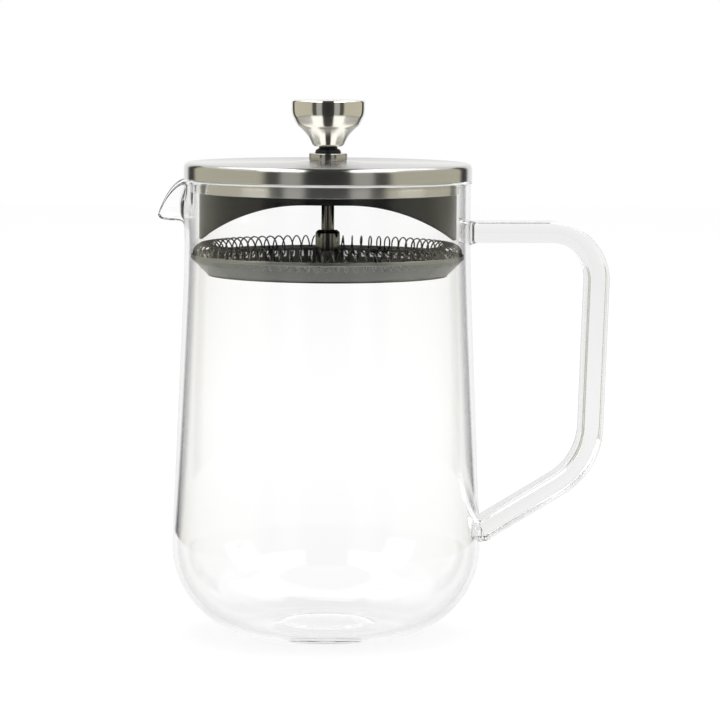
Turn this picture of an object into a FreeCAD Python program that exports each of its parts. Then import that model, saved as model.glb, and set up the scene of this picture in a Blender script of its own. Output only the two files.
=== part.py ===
import FreeCAD, Part
import math
import os
import Sketcher

# Glass coffee and tea jug with a lift-off steel lid and a short plunger filter.
# Frame: millimetres, +Z up, origin on the jug's axis in the plane it stands on,
# +X towards the handle, -X towards the spout.

doc = FreeCAD.newDocument("french_press")
sheet = doc.addObject("Spreadsheet::Sheet", "Sheet")

DIMENSIONS = {
    # jug body
    "rim_height": 168.0,
    "neck_radius": 52.7,
    "belly_radius": 57.3,
    "corner_radius": 33.0,
    "side_angle": 2.5,
    "wall": 1.9,
    "rim_polish": 0.5,
    # spout
    "spout_reach": 62.5,
    "spout_width": 30.0,
    "spout_drop": 14.6,
    "spout_tip_drop": 12.2,
    "spout_brow_radius": 24.0,
    "spout_nose_radius": 3.4,
    "spout_root_inset": 8.0,
    "spout_root_spread": 3.0,
    "spout_flank_inset": 2.2,
    "spout_flank_radius": 24.0,
    "spout_keel_lift": 0.6,
    "spout_hull_lift": 1.8,
    "spout_keel_draw": 1.3,
    "spout_hull_draw": 0.4,
    # handle
    "handle_thick": 7.0,
    "handle_deep": 18.0,
    "handle_round": 2.4,
    "handle_arm_height": 149.4,
    "handle_reach": 100.9,
    "handle_elbow_radius": 17.8,
    "handle_heel_reach": 98.2,
    "handle_heel_height": 62.5,
    "handle_heel_radius": 26.0,
    "handle_foot_height": 38.1,
    "foot_flare": 3.0,
    "foot_depth": 4.0,
    "foot_sink": 1.2,
    "handle_sink": 3.0,
    "clearance_cut": 5.0,
    # lid
    "lid_gap": 0.7,
    "fit_gap": 0.1,
    "lid_set_angle": -4.8,
    "cap_radius": 53.1,
    "cap_depth": 6.1,
    "cap_edge_radius": 2.2,
    "cap_sheet": 0.6,
    "cap_hem": 1.0,
    "boss_radius": 8.0,
    "boss_skirt": 14.0,
    "boss_rise": 0.8,
    "pan_radius": 48.3,
    "pan_sheet": 0.5,
    "pan_depth": 4.9,
    "guard_radius": 47.5,
    "guard_wall": 1.6,
    "guard_tip_drop": 21.2,
    "arch_flat": 7.4,
    "arch_radius": 61.0,
    "arch_top_drop": 6.6,
    "guard_deck_drop": 1.6,
    "guard_deck": 1.5,
    "guard_post_wall": 2.4,
    # bush and sleeve
    "flange_radius": 7.1,
    "flange_thick": 2.6,
    "stem_radius": 4.0,
    "nut_flats": 12.0,
    "nut_thick": 3.0,
    "washer_radius": 6.6,
    "washer_thick": 0.8,
    "thread_end": 0.5,
    "sleeve_radius": 3.1,
    "dome_radius": 4.85,
    "dome_height": 1.6,
    "dome_side": 0.7,
    "dome_draft": 0.2,
    "turned_edge": 0.35,
    "sleeve_tail": 3.0,
    "collar_radius": 3.4,
    "collar_height": 0.8,
    # plunger
    "rod_radius": 2.4,
    "rod_clearance": 0.05,
    "rod_tail": 3.1,
    "knob_height": 17.0,
    "knob_radius": 13.6,
    "knob_foot_radius": 5.2,
    "knob_bell_radius": 6.9,
    "knob_bell_height": 3.1,
    "knob_throat_radius": 8.4,
    "knob_throat_height": 5.0,
    "knob_belly_radius": 11.2,
    "knob_belly_height": 7.6,
    "knob_brow_radius": 12.7,
    "knob_brow_height": 9.9,
    "knob_rim_start": 12.8,
    "knob_edge": 0.9,
    "knob_socket": 8.0,
    "hub_radius": 4.55,
    "hub_height": 15.4,
    "hub_shoulder": 1.3,
    "hub_shoulder_in": 1.1,
    "filter_base": 133.5,
    "dish_radius": 44.6,
    "dish_slope_height": 6.4,
    "dish_rim_radius": 50.4,
    "dish_rim_height": 7.8,
    "mesh_thick": 0.25,
    "plate_radius": 44.1,
    "plate_rim_height": 6.3,
    "plate_sheet": 0.5,
    "slot_width": 1.5,
    "slot_height": 2.4,
    "slot_drop": 2.0,
    "cross_radius": 44.3,
    "opening_start": 13.0,
    "opening_margin": 7.0,
    "opening_start_half": 3.0,
    "opening_end_half": 9.0,
    "opening_start_round": 4.0,
    "opening_end_round": 20.0,
    "opening_count": 8,
    "end_nut_flats": 8.0,
    "end_nut_thick": 2.7,
    "coil_ring_radius": 45.9,
    "coil_radius": 3.6,
    "coil_height": 8.0,
    "coil_wire": 0.5,
    "coil_turns": 48,
    "plunger_play": 1.2,
}

for row, (alias, number) in enumerate(DIMENSIONS.items(), start=1):
    sheet.set("A%d" % row, alias)
    sheet.set("B%d" % row, str(number))
    sheet.setAlias("B%d" % row, alias)
doc.recompute()


class Dim:
    """A length that knows both its value and the sheet expression it comes from."""

    def __init__(self, value, text):
        self.value = float(value)
        self.text = text

    def __add__(self, other):
        other = as_dim(other)
        return Dim(self.value + other.value, "(%s + %s)" % (self.text, other.text))

    def __sub__(self, other):
        other = as_dim(other)
        return Dim(self.value - other.value, "(%s - %s)" % (self.text, other.text))

    def __mul__(self, other):
        other = as_dim(other)
        return Dim(self.value * other.value, "(%s * %s)" % (self.text, other.text))

    def __truediv__(self, other):
        other = as_dim(other)
        return Dim(self.value / other.value, "(%s / %s)" % (self.text, other.text))

    def __neg__(self):
        return Dim(-self.value, "(0 - %s)" % self.text)


def as_dim(number):
    if isinstance(number, Dim):
        return number
    return Dim(number, "(%r)" % float(number))


def size(alias):
    return Dim(sheet.get(alias), "Sheet.%s" % alias)


def sine(degrees):
    return Dim(math.sin(math.radians(degrees.value)), "sin(%s)" % degrees.text)


def cosine(degrees):
    return Dim(math.cos(math.radians(degrees.value)), "cos(%s)" % degrees.text)


def root(number):
    return Dim(math.sqrt(number.value), "sqrt(%s)" % number.text)


# ---------------------------------------------------------------- helpers

def origin_plane(body, role):
    return next(f for f in body.Origin.OriginFeatures if f.Role == role)


def new_body(label):
    body = doc.addObject("PartDesign::Body", label)
    body.Label = label
    return body


def new_sketch(body, name, role, lift=None):
    """A sketch on one of the body's own origin planes, lifted along the plane's normal."""
    sketch = body.newObject("Sketcher::SketchObject", name)
    sketch.AttachmentSupport = [(origin_plane(body, role), "")]
    sketch.MapMode = "FlatFace"
    if lift is not None:
        sketch.setExpression(".AttachmentOffset.Base.z", lift.text)
    return sketch


def pin(sketch, geometry, position, place):
    """Ties one end of a sketch line or arc to sheet dimensions, measured from the origin."""
    for kind, length in zip(("DistanceX", "DistanceY"), place):
        constraint = Sketcher.Constraint(kind, -1, 1, geometry, position, length.value)
        index = sketch.addConstraint(constraint)
        sketch.setExpression("Constraints[%d]" % index, length.text)


def arc_between(start, stop, radius):
    """The shorter arc from start to stop, turning left where radius is positive."""
    middle = (start + stop) * 0.5
    chord = stop - start
    left = FreeCAD.Vector(-chord.y, chord.x, 0).normalize()
    rise = math.sqrt(max(radius * radius - chord.Length ** 2 / 4.0, 0.0))
    centre = middle + left * math.copysign(rise, radius)
    angles = [math.atan2(p.y - centre.y, p.x - centre.x) for p in (start, stop)]
    if radius < 0:
        angles.reverse()
    circle = Part.Circle(centre, FreeCAD.Vector(0, 0, 1), abs(radius))
    return Part.ArcOfCircle(circle, angles[0], angles[1])


def add_stretch(sketch, start, stop, radius=None):
    """Adds a line, or an arc of the radius; returns (geometry, its first end, its last end)."""
    first = FreeCAD.Vector(start[0].value, start[1].value, 0)
    last = FreeCAD.Vector(stop[0].value, stop[1].value, 0)
    if radius is None:
        return sketch.addGeometry(Part.LineSegment(first, last), False), 1, 2
    geometry = sketch.addGeometry(arc_between(first, last, radius.value), False)
    length = Dim(abs(radius.value), "abs(%s)" % radius.text)
    index = sketch.addConstraint(Sketcher.Constraint("Radius", geometry, length.value))
    sketch.setExpression("Constraints[%d]" % index, length.text)
    return (geometry, 1, 2) if radius.value > 0 else (geometry, 2, 1)


def outline(sketch, corners):
    """A closed outline. A corner is (x, y), or (x, y, radius) where an arc leaves it."""
    places = [(as_dim(corner[0]), as_dim(corner[1])) for corner in corners]
    stretches = []
    for number, corner in enumerate(corners):
        radius = as_dim(corner[2]) if len(corner) > 2 else None
        after = places[(number + 1) % len(places)]
        stretches.append(add_stretch(sketch, places[number], after, radius))
    for number, (geometry, first, _) in enumerate(stretches):
        before, _, last = stretches[number - 1]
        joined = Sketcher.Constraint("Coincident", before, last, geometry, first)
        sketch.addConstraint(joined)
        pin(sketch, geometry, first, places[number])
    return sketch


def revolve(body, name, kind, corners):
    """Turns a closed outline in the XZ plane about the upright axis."""
    sketch = outline(new_sketch(body, name + "_outline", "XZ_Plane"), corners)
    feature = body.newObject("PartDesign::" + kind, name)
    feature.Profile = sketch
    feature.ReferenceAxis = (sketch, ["V_Axis"])
    feature.Angle = 360.0
    return feature


def turned(label, corners):
    body = new_body(label)
    revolve(body, label + "_turn", "Revolution", corners)
    return body


def chords(centre, radius, first, last, steps):
    """Points on an arc, from the first angle to the last in degrees, one more than steps."""
    points = []
    for step in range(steps + 1):
        angle = as_dim(first) + (as_dim(last) - first) * step / steps
        points.append((centre[0] + radius * cosine(angle), centre[1] + radius * sine(angle)))
    return points


def rounded_box_outline(middle, width, height, round_radius):
    """Corners of a rectangle with its corners taken off, counter-clockwise."""
    half_w = width / 2
    half_h = height / 2
    x, y = (as_dim(part) for part in middle)
    r = round_radius
    return [
        (x + half_w, y - half_h + r),
        (x + half_w, y + half_h - r),
        (x + half_w - r, y + half_h),
        (x - half_w + r, y + half_h),
        (x - half_w, y + half_h - r),
        (x - half_w, y - half_h + r),
        (x - half_w + r, y - half_h),
        (x + half_w - r, y - half_h),
    ]


def pocket(body, name, sketch, length=None, both_sides=False, reverse=False):
    """Cuts the sketch's outline out of the body and makes sure that it did cut."""
    doc.recompute()
    before = body.Shape.Volume
    feature = body.newObject("PartDesign::Pocket", name)
    feature.Profile = sketch
    if both_sides:
        feature.SideType = "Symmetric"
    feature.Reversed = reverse
    if length is None:
        feature.Type = "ThroughAll"
    else:
        feature.setExpression("Length", length.text)
    doc.recompute()
    if body.Shape.Volume >= before - 1e-6:
        raise RuntimeError(name + " cut nothing")
    return feature


def polar(body, name, feature, count):
    pattern = body.newObject("PartDesign::PolarPattern", name)
    pattern.Originals = [feature]
    pattern.Axis = (origin_plane(body, "Z_Axis"), [""])
    pattern.Angle = 360.0
    pattern.setExpression("Occurrences", count.text)
    body.Tip = pattern
    doc.recompute()
    return pattern


# ---------------------------------------------------------------- levels shared by pieces

rim = size("rim_height")
wall = size("wall")
neck = size("neck_radius")
foot = size("belly_radius") - size("corner_radius")
side = size("side_angle")
cap_under = rim + size("lid_gap")
cap_top = cap_under + size("cap_depth")
cap_summit = cap_top + size("boss_rise")
guard_deck_under = cap_under - size("guard_deck_drop") - size("guard_deck")
nut_top = guard_deck_under - size("fit_gap") - size("washer_thick")
fit = size("fit_gap")
flange_under = cap_summit + fit
flange_top = flange_under + size("flange_thick")
dome_top = flange_top + size("dome_height")
collar_top = dome_top + size("collar_height")
knob_under = collar_top + fit
rod = size("rod_radius")
filter_base = size("filter_base")
sheet_metal = size("plate_sheet")
mesh_under = filter_base + sheet_metal
plate_under = mesh_under + size("mesh_thick")
hub_under = plate_under + sheet_metal
clear_of = size("clearance_cut")


# ---------------------------------------------------------------- glass jug

def beaker_outside():
    """Outline of the jug's outer form: foot, rounded corner, leaning side, neck, rim."""
    centre = (foot, size("corner_radius"))
    corner = chords(centre, size("corner_radius"), -90, side, 4)
    shoulder_x, shoulder_z = corner[-1]
    neck_start = shoulder_z + (shoulder_x - neck) * cosine(side) / sine(side)
    polish = size("rim_polish")
    return [(0, 0)] + corner + [
        (neck, neck_start),
        (neck, rim - polish),
        (neck - polish, rim),
        (0, rim),
    ]


def beaker_inside():
    """Outline of the hollow: the outer form moved in by the wall, open at the rim."""
    centre = (foot, size("corner_radius"))
    corner = chords(centre, size("corner_radius") - wall, -90, side, 3)
    shoulder_x, shoulder_z = corner[-1]
    inner_neck = neck - wall
    neck_start = shoulder_z + (shoulder_x - inner_neck) * cosine(side) / sine(side)
    above = rim + clear_of
    return [(0, wall)] + corner + [
        (inner_neck, neck_start),
        (inner_neck, above),
        (0, above),
    ]


def prow(inset):
    """Plan of the spout, moved in by inset: two hollow flanks that meet in a round nose."""
    nose = size("spout_nose_radius") - inset
    nose_x = -(size("spout_reach") - size("spout_nose_radius"))
    root_x = -(neck - size("spout_root_inset"))
    root_y = size("spout_width") / 2 + size("spout_root_spread") - inset
    flank_x = -(neck - size("spout_flank_inset"))
    flank_y = size("spout_width") / 2 - inset
    hollow = -size("spout_flank_radius")
    meet = as_dim(60)
    meet_x = nose_x - nose * cosine(meet)
    return [
        (root_x, root_y),
        (flank_x, flank_y, hollow),
        (meet_x, nose * sine(meet), nose),
        (meet_x, -(nose * sine(meet)), hollow),
        (flank_x, -flank_y),
        (root_x, -root_y),
    ]


def prow_block(body, name, kind, floor, inset, top):
    """The spout's form as stacked plans: its floor is drawn in to round the hull."""
    levels = [
        (floor, inset + size("spout_keel_draw")),
        (floor + size("spout_keel_lift"), inset + size("spout_hull_draw")),
        (floor + size("spout_hull_lift"), inset),
        (top, inset),
    ]
    sections = []
    for number, (level, draw_in) in enumerate(levels):
        sketch = new_sketch(body, "%s_plan%d" % (name, number), "XY_Plane", level)
        sections.append(outline(sketch, prow(draw_in)))
    loft = body.newObject("PartDesign::" + kind, name)
    loft.Profile = sections[0]
    loft.Sections = sections[1:]
    loft.Ruled = True
    return loft


def spout_channel(body, floor):
    """The hollow of the spout, cut through the jug's wall as well as the spout itself."""
    prow_block(body, "spout_channel", "SubtractiveLoft", floor + wall, wall, rim + clear_of)


def glass_beaker():
    body = new_body("glass_beaker")
    revolve(body, "beaker_form", "Revolution", beaker_outside())
    revolve(body, "beaker_hollow", "Groove", beaker_inside())
    spout_channel(body, rim - size("spout_drop"))
    return body


def glass_spout():
    """The pulled lip: a prow whose brow falls to the pouring tip, fused to the jug's wall."""
    body = new_body("glass_spout")
    floor = rim - size("spout_drop")
    prow_block(body, "spout_form", "AdditiveLoft", floor, as_dim(0), rim)
    revolve(body, "wall_fit", "Groove", beaker_outside())
    brow = size("spout_brow_radius")
    reach = size("spout_reach")
    beyond = reach + clear_of
    brow_start = -(neck - size("spout_flank_inset"))
    tip_z = rim - size("spout_tip_drop")
    trim = outline(new_sketch(body, "spout_brow", "XZ_Plane"), [
        (brow_start, rim, brow),
        (-reach, tip_z),
        (-beyond, tip_z),
        (-beyond, rim + clear_of),
        (brow_start, rim + clear_of),
    ])
    pocket(body, "spout_brow_cut", trim, both_sides=True)
    spout_channel(body, floor)
    return body


def handle_slope():
    """Rise per millimetre of the handle's lower arm."""
    rise = size("handle_heel_height") - size("handle_foot_height")
    return rise / (size("handle_heel_reach") - size("belly_radius"))


def handle_path(body):
    """Centre line: level upper arm, elbow, near-upright grip, heel, sloping lower arm."""
    sketch = new_sketch(body, "handle_path", "XZ_Plane")
    start_x = neck - size("handle_sink")
    elbow = (size("handle_reach"), size("handle_arm_height"))
    heel = (size("handle_heel_reach"), size("handle_heel_height"))
    end_x = size("belly_radius") - size("handle_sink")
    end = (end_x, size("handle_foot_height") - handle_slope() * size("handle_sink"))
    route = [(start_x, elbow[1]), elbow, heel, end]
    radii = [size("handle_elbow_radius"), size("handle_heel_radius")]
    marks = [FreeCAD.Vector(x.value, z.value, 0) for x, z in route]
    corner_points = []
    for place in route[1:3]:
        point = Part.Point(FreeCAD.Vector(place[0].value, place[1].value, 0))
        geometry = sketch.addGeometry(point, True)
        pin(sketch, geometry, 1, place)
        corner_points.append(geometry)
    ends = [marks[0]]
    for number, radius in enumerate(radii, start=1):
        before = (marks[number - 1] - marks[number]).normalize()
        after = (marks[number + 1] - marks[number]).normalize()
        turn = math.pi - before.getAngle(after)
        reach = radius.value * math.tan(turn / 2)
        ends += [marks[number] + before * reach, marks[number] + after * reach]
    ends.append(marks[3])
    lines = [
        sketch.addGeometry(Part.LineSegment(ends[i], ends[i + 1]), False)
        for i in (0, 2, 4)
    ]
    for number, radius in enumerate(radii):
        arc = arc_between(ends[2 * number + 1], ends[2 * number + 2], -radius.value)
        geometry = sketch.addGeometry(arc, False)
        sketch.addConstraint(Sketcher.Constraint("Tangent", lines[number], 2, geometry, 2))
        sketch.addConstraint(Sketcher.Constraint("Tangent", geometry, 1, lines[number + 1], 1))
        index = sketch.addConstraint(Sketcher.Constraint("Radius", geometry, radius.value))
        sketch.setExpression("Constraints[%d]" % index, radius.text)
    pin(sketch, lines[0], 1, route[0])
    pin(sketch, lines[2], 2, route[3])
    for point, line in zip(corner_points + corner_points, lines[:2] + lines[1:]):
        sketch.addConstraint(Sketcher.Constraint("PointOnObject", point, 1, line))
    return sketch


def foot_flare(body, name, wall_x, middle_z, slope, stretch):
    """Glass that spreads where an arm is fused to the jug, between two upright sections."""
    deep = size("handle_deep")
    thick = size("handle_thick") * stretch
    stations = ((-size("foot_sink"), size("foot_flare")), (size("foot_depth"), -fit))
    sections = []
    for number, (out, extra) in enumerate(stations):
        sketch = new_sketch(body, "%s_section%d" % (name, number), "YZ_Plane", wall_x + out)
        corners = rounded_box_outline(
            (0, middle_z + slope * out), deep + extra * 2, thick + extra * 2,
            size("handle_round") + extra / 2)
        sections.append(outline(sketch, corners))
    loft = body.newObject("PartDesign::AdditiveLoft", name)
    loft.Profile = sections[0]
    loft.Sections = [sections[1]]
    loft.Ruled = True
    return loft


def glass_handle():
    body = new_body("glass_handle")
    path = handle_path(body)
    arm = size("handle_arm_height")
    section = outline(
        new_sketch(body, "handle_section", "YZ_Plane", neck - size("handle_sink")),
        rounded_box_outline((0, arm), size("handle_deep"), size("handle_thick"),
                            size("handle_round")))
    pipe = body.newObject("PartDesign::AdditivePipe", "handle_ribbon")
    pipe.Profile = section
    pipe.Spine = (path, [])
    doc.recompute()
    slope = handle_slope()
    foot_flare(body, "upper_foot", neck, arm, as_dim(0), as_dim(1))
    stretch = root(slope * slope + 1)
    foot_flare(body, "lower_foot", size("belly_radius"), size("handle_foot_height"), slope, stretch)
    revolve(body, "wall_fit", "Groove", beaker_outside())
    return body


# ---------------------------------------------------------------- lid centre

def lid_bush():
    bore = size("sleeve_radius")
    stem = size("stem_radius")
    bottom = nut_top - size("nut_thick") - size("thread_end")
    edge = size("turned_edge")
    return turned("lid_bush", [
        (bore, bottom),
        (stem, bottom),
        (stem, flange_under),
        (size("flange_radius"), flange_under),
        (size("flange_radius"), flange_top - edge),
        (size("flange_radius") - edge, flange_top),
        (bore, flange_top),
    ])


def rod_sleeve():
    bore = rod + size("rod_clearance")
    bottom = guard_deck_under - size("sleeve_tail")
    return turned("rod_sleeve", [
        (bore, bottom),
        (size("sleeve_radius"), bottom),
        (size("sleeve_radius"), flange_top),
        (size("dome_radius"), flange_top),
        (size("dome_radius") - size("dome_draft"), flange_top + size("dome_side")),
        (size("collar_radius"), dome_top),
        (size("collar_radius"), collar_top),
        (bore, collar_top),
    ])


def bush_washer():
    top = nut_top + size("washer_thick")
    return turned("bush_washer", [
        (size("stem_radius"), nut_top),
        (size("washer_radius"), nut_top),
        (size("washer_radius"), top),
        (size("stem_radius"), top),
    ])


def hex_nut(label, flats, top, thick, bore):
    """A plain hexagon nut: padded hexagon, bore and chamfered points."""
    body = new_body(label)
    apothem = flats / 2
    point = flats / root(as_dim(3))
    hexagon = outline(new_sketch(body, label + "_plan", "XY_Plane", top - thick), [
        (point, 0),
        (point / 2, apothem),
        (-(point / 2), apothem),
        (-point, 0),
        (-(point / 2), -apothem),
        (point / 2, -apothem),
    ])
    pad = body.newObject("PartDesign::Pad", label + "_block")
    pad.Profile = hexagon
    pad.setExpression("Length", thick.text)
    under = top - thick
    revolve(body, label + "_chamfer", "Groove", [
        (apothem, under),
        (point, under),
        (point, under + (point - apothem)),
    ])
    revolve(body, label + "_bore", "Groove", [
        (0, under - clear_of),
        (bore, under - clear_of),
        (bore, top + clear_of),
        (0, top + clear_of),
    ])
    return body


# ---------------------------------------------------------------- lid

def lid_cap():
    """Pressed steel cap: flat crown with a raised seat for the bush, skirt with a hem."""
    r = size("cap_radius")
    edge = size("cap_edge_radius")
    metal = size("cap_sheet")
    hem = r - metal - size("cap_hem")
    hole = size("stem_radius") + fit
    seat = size("boss_radius")
    skirt = size("boss_skirt")
    return turned("lid_cap", [
        (hole, cap_top - metal),
        (r - edge, cap_top - metal),
        (r - metal, cap_top - edge),
        (r - metal, cap_under + metal),
        (hem, cap_under + metal),
        (hem, cap_under),
        (r, cap_under),
    ] + chords((r - edge, cap_top - edge), edge, 0, 90, 2) + [
        (skirt, cap_top),
        (seat, cap_summit),
        (hole, cap_summit),
    ])


def lid_pan():
    """Steel band that drops into the jug's mouth; its flange is held in the cap's hem."""
    metal = size("pan_sheet")
    outer = size("pan_radius")
    flange = size("cap_radius") - size("cap_sheet") - fit
    base = cap_under + size("cap_sheet")
    return turned("lid_pan", [
        (outer - metal, cap_under - size("pan_depth")),
        (outer, cap_under - size("pan_depth")),
        (outer, base),
        (flange, base),
        (flange, base + metal),
        (outer - metal, base + metal),
    ])


def splash_guard():
    """Moulded ring with a deck and a centre post; two arches let the drink reach the spout."""
    r = size("guard_radius")
    thick = size("guard_wall")
    deck = guard_deck_under
    deck_top = deck + size("guard_deck")
    tip = rim - size("guard_tip_drop")
    hole = size("stem_radius") + fit
    post = hole + size("guard_post_wall")
    body = turned("splash_guard", [
        (hole, deck),
        (r - thick, deck),
        (r - thick, tip),
        (r, tip),
        (r, deck_top),
        (post, deck_top),
        (post, cap_top - size("cap_sheet")),
        (hole, cap_top - size("cap_sheet")),
    ])
    flat = size("arch_flat")
    arch = size("arch_radius")
    top = rim - size("arch_top_drop")
    across = r + thick
    spring_line = top - arch + root(arch * arch - (across - flat) * (across - flat))
    below = tip - clear_of
    shape = outline(new_sketch(body, "arch_outline", "XZ_Plane"), [
        (-across, spring_line),
        (-across, below),
        (across, below),
        (across, spring_line, arch),
        (flat, top),
        (-flat, top, arch),
    ])
    pocket(body, "arches", shape, both_sides=True)
    turn = FreeCAD.Rotation(FreeCAD.Vector(0, 0, 1), size("lid_set_angle").value)
    body.Placement = FreeCAD.Placement(FreeCAD.Vector(0, 0, 0), turn)
    body.setExpression(".Placement.Rotation.Angle", size("lid_set_angle").text)
    return body


# ---------------------------------------------------------------- plunger

def knob():
    """Solid steel knob: upright rim, round belly that draws in to a bell and a narrow foot."""
    r = size("knob_radius")
    base = knob_under
    top = base + size("knob_height")
    socket = size("knob_socket")
    edge = size("knob_edge")
    return turned("knob", [
        (0, base + socket),
        (rod, base + socket),
        (rod, base),
        (size("knob_foot_radius"), base),
        (size("knob_bell_radius"), base + size("knob_bell_height")),
        (size("knob_throat_radius"), base + size("knob_throat_height")),
        (size("knob_belly_radius"), base + size("knob_belly_height")),
        (size("knob_brow_radius"), base + size("knob_brow_height")),
        (r, base + size("knob_rim_start")),
        (r, top - edge),
        (r - edge, top),
        (0, top),
    ])


def plunger_rod():
    bottom = filter_base - size("rod_tail")
    top = knob_under + size("knob_socket")
    return turned("plunger_rod", [(0, bottom), (rod, bottom), (rod, top), (0, top)])


def rod_hub():
    """Turned collar that the filter plates screw up against."""
    r = size("hub_radius")
    top = hub_under + size("hub_height")
    return turned("rod_hub", [
        (rod, hub_under),
        (r, hub_under),
        (r, top - size("hub_shoulder")),
        (r - size("hub_shoulder_in"), top),
        (rod, top),
    ])


def spring_plate():
    """Pressed plate with an upright rim; each turn of the coil passes through a slot in it."""
    r = size("plate_radius")
    rim_top = plate_under + size("plate_rim_height")
    body = turned("spring_plate", [
        (rod, plate_under),
        (r, plate_under),
        (r, rim_top),
        (r - sheet_metal, rim_top),
        (r - sheet_metal, hub_under),
        (rod, hub_under),
    ])
    wide = size("slot_width") / 2
    tall = size("slot_height") / 2
    level = rim_top - size("slot_drop")
    depth = sheet_metal * 4
    slot = outline(new_sketch(body, "coil_slot", "YZ_Plane", r - depth), [
        (wide, level - tall),
        (wide, level + tall),
        (-wide, level + tall),
        (-wide, level - tall),
    ])
    cut = pocket(body, "coil_slot_cut", slot, depth * 2, reverse=True)
    polar(body, "coil_slots", cut, size("coil_turns"))
    return body


def filter_spring():
    """Garter coil bent into a ring. Each turn is eight straight stretches of wire."""
    turns = int(size("coil_turns").value)
    ring = size("coil_ring_radius").value
    loop = size("coil_radius").value
    middle = filter_base.value + size("coil_height").value
    wire = size("coil_wire").value / 2
    steps = 8
    sides = 3
    drop = middle - (plate_under + size("plate_rim_height") - size("slot_drop")).value
    inward = ring - (size("plate_radius") - sheet_metal / 2).value
    through_slot = math.atan2(-drop, -inward)

    def section(step):
        ring_angle = 2 * math.pi * step / (steps * turns)
        turn_angle = through_slot + 2 * math.pi * step / steps
        outward = FreeCAD.Vector(math.cos(ring_angle), math.sin(ring_angle), 0)
        upward = FreeCAD.Vector(0, 0, 1)
        along = upward.cross(outward)
        spoke = outward * math.cos(turn_angle) + upward * math.sin(turn_angle)
        centre = outward * ring + upward * middle + spoke * loop
        angles = [2 * math.pi * side / sides for side in range(sides)]
        return [
            centre + spoke * (wire * math.cos(a)) + along * (wire * math.sin(a))
            for a in angles
        ]

    count = turns * steps
    rings = [section(step) for step in range(count)]
    faces = []
    for step in range(count):
        here = rings[step]
        there = rings[(step + 1) % count]
        for side in range(sides):
            after = (side + 1) % sides
            corners = (here[side], here[after], there[after], there[side])
            for triangle in ((0, 1, 2), (0, 2, 3)):
                loop_points = [corners[i] for i in triangle]
                faces.append(Part.Face(Part.makePolygon(loop_points + loop_points[:1])))
    shell = Part.Shell(faces)
    shell.sewShape()
    solid = Part.Solid(shell)
    if solid.Volume < 0:
        solid.reverse()
    feature = doc.addObject("Part::Feature", "filter_spring")
    feature.Label = "filter_spring"
    feature.Shape = solid
    feature.Placement = FreeCAD.Placement()
    return feature


def mesh_screen():
    """Woven screen pressed to a shallow dish that wraps the coil from below."""
    base = size("dish_radius")
    lip = size("dish_rim_radius")
    thick = size("mesh_thick")
    lip_start = filter_base + size("dish_slope_height")
    lip_top = filter_base + size("dish_rim_height")
    return turned("mesh_screen", [
        (rod, mesh_under),
        (base, mesh_under),
        (lip, lip_start),
        (lip, lip_top),
        (lip - thick, lip_top),
        (lip - thick, lip_start),
        (base - thick / 3, plate_under),
        (rod, plate_under),
    ])


def cross_plate():
    """Flat pressed plate under the screen, with a ring of wide openings for the drink."""
    r = size("cross_radius")
    body = turned("cross_plate", [
        (rod, filter_base),
        (r, filter_base),
        (r, mesh_under),
        (rod, mesh_under),
    ])
    sketch = new_sketch(body, "opening_plan", "XY_Plane", filter_base - sheet_metal)
    start = size("opening_start")
    end = r - size("opening_margin")
    start_half = size("opening_start_half")
    end_half = size("opening_end_half")
    outline(sketch, [
        (start, start_half, size("opening_start_round")),
        (start, -start_half),
        (end, -end_half, size("opening_end_round")),
        (end, end_half),
    ])
    cut = pocket(body, "opening", sketch, sheet_metal * 3, reverse=True)
    polar(body, "openings", cut, size("opening_count"))
    return body


# ---------------------------------------------------------------- build, check, write

pieces = [
    glass_beaker(),
    glass_spout(),
    glass_handle(),
    lid_bush(),
    rod_sleeve(),
    bush_washer(),
    hex_nut("bush_nut", size("nut_flats"), nut_top, size("nut_thick"), size("stem_radius")),
    lid_cap(),
    lid_pan(),
    splash_guard(),
    knob(),
    plunger_rod(),
    rod_hub(),
    spring_plate(),
    filter_spring(),
    mesh_screen(),
    cross_plate(),
    hex_nut("end_nut", size("end_nut_flats"), filter_base, size("end_nut_thick"), rod),
]
doc.recompute()

faults = [o.Label for o in doc.Objects if "Invalid" in o.State or "Error" in o.State]
if faults:
    raise RuntimeError("failed objects: " + ", ".join(faults))
for piece in pieces:
    if piece.Shape.isNull() or not piece.Shape.isValid() or not piece.Shape.Solids:
        raise RuntimeError(piece.Label + " has no valid solid")

os.makedirs("parts", exist_ok=True)
for piece in pieces:
    piece.Shape.exportStep("parts/%s.step" % piece.Label)
    print("%-14s %2d solid  %9.1f mm3" % (piece.Label, len(piece.Shape.Solids), piece.Shape.Volume))
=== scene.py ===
import math

import bmesh
import bpy
from mathutils import Matrix, Vector


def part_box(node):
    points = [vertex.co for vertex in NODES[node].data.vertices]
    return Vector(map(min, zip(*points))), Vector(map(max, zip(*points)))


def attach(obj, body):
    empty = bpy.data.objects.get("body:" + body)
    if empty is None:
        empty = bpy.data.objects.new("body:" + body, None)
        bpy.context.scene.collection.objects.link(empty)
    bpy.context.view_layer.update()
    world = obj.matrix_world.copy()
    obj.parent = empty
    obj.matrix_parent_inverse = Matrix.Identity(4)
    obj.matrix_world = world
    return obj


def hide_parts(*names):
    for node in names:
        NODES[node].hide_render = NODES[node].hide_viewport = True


# A clear glass jug with a fused handle, a brushed steel lid and a short plunger filter.
# Lengths are in millimetres until a mesh is made, then metres, +Z up, +X to the handle.
# The studio's lengths are in metres throughout.

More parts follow.
